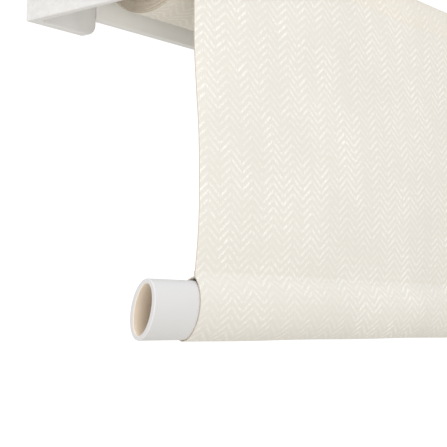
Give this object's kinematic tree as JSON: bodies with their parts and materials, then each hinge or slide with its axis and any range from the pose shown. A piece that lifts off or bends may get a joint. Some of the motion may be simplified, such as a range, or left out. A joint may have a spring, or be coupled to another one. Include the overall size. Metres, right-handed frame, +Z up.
{
  "type": "roller blind",
  "caption": "Spring roller blind on two wall brackets with a back rail, cream herringbone cloth and an oval bottom bar in a hem; it pulls down, rolls up and stays where it is put.",
  "frame": {"origin": "on the wall face, at the centre of the rectangle of four wall screws, level with the roller's axis and midway along the blind", "axes": "+X along the blind to its right-hand bracket as seen from the room, +Y back into the wall, +Z up"},
  "size_m": [0.688, 0.0721, 0.2256],
  "materials": {
    "bracket_plastic": "fine moulded satin, white",
    "bar_plastic": "smooth extruded white, slight sheen",
    "nylon": "natural white moulded",
    "rail_aluminium": "white powder coat",
    "tube_aluminium": "mill finish, faint drawing lines",
    "steel": "zinc plated, bright",
    "spring_steel": "oiled spring wire",
    "blind_fabric": "cream herringbone jacquard, matt with a faint sheen",
    "tape": "translucent adhesive tape"
  },
  "bodies": {
    "root": {"left_bracket": "bracket_plastic", "right_bracket": "bracket_plastic", "idle_bush": "nylon", "drive_socket": "steel", "back_rail": "rail_aluminium", "rail_screws": "steel", "spring_shaft": "steel", "brake_drum": "steel", "shaft_ring": "steel", "fixed_anchor": "nylon", "anchor_pin": "steel", "torsion_spring": "spring_steel", "shaft_end_clip": "steel"},
    "roller": {"roller_tube": "tube_aluminium", "fabric_tape": "tape", "fabric_roll": "blind_fabric", "idle_plug": "nylon", "idle_plug_cap": "nylon", "idle_pin_spring": "spring_steel", "drive_plug": "nylon", "brake_spring": "spring_steel", "driven_anchor": "nylon"},
    "idle_pin": {"idle_pin": "steel"},
    "drop": {"hanging_fabric": "blind_fabric"},
    "bar": {"hem_pocket": "blind_fabric", "bottom_bar": "bar_plastic"}
  },
  "joints": [
    {"name": "roller_spin", "type": "hinge", "parent": "root", "child": "roller", "pos_m": [0, -0.0374, 0], "axis": [1, 0, 0], "range_deg": [-189, 2623], "deforming": ["torsion_spring"]},
    {"name": "idle_pin_slide", "type": "slide", "parent": "roller", "child": "idle_pin", "axis": [1, 0, 0], "range_m": [0, 0.009], "stiffness_N_per_m": 500, "springref_m": -0.006, "deforming": ["idle_pin_spring"]},
    {"name": "blind_swing", "type": "hinge", "parent": "root", "child": "drop", "pos_m": [0, -0.068, 0], "axis": [-1, 0, 0], "range_deg": [-2, 30]},
    {"name": "bar_drop", "type": "slide", "parent": "drop", "child": "bar", "axis": [0, 0, -1], "range_m": [-0.1, 1.4], "deforming": ["hanging_fabric"]}
  ],
  "couplings": [
    {"joint": "roller_spin", "follows": "bar_drop", "rad_per_m": 32.68}
  ]
}
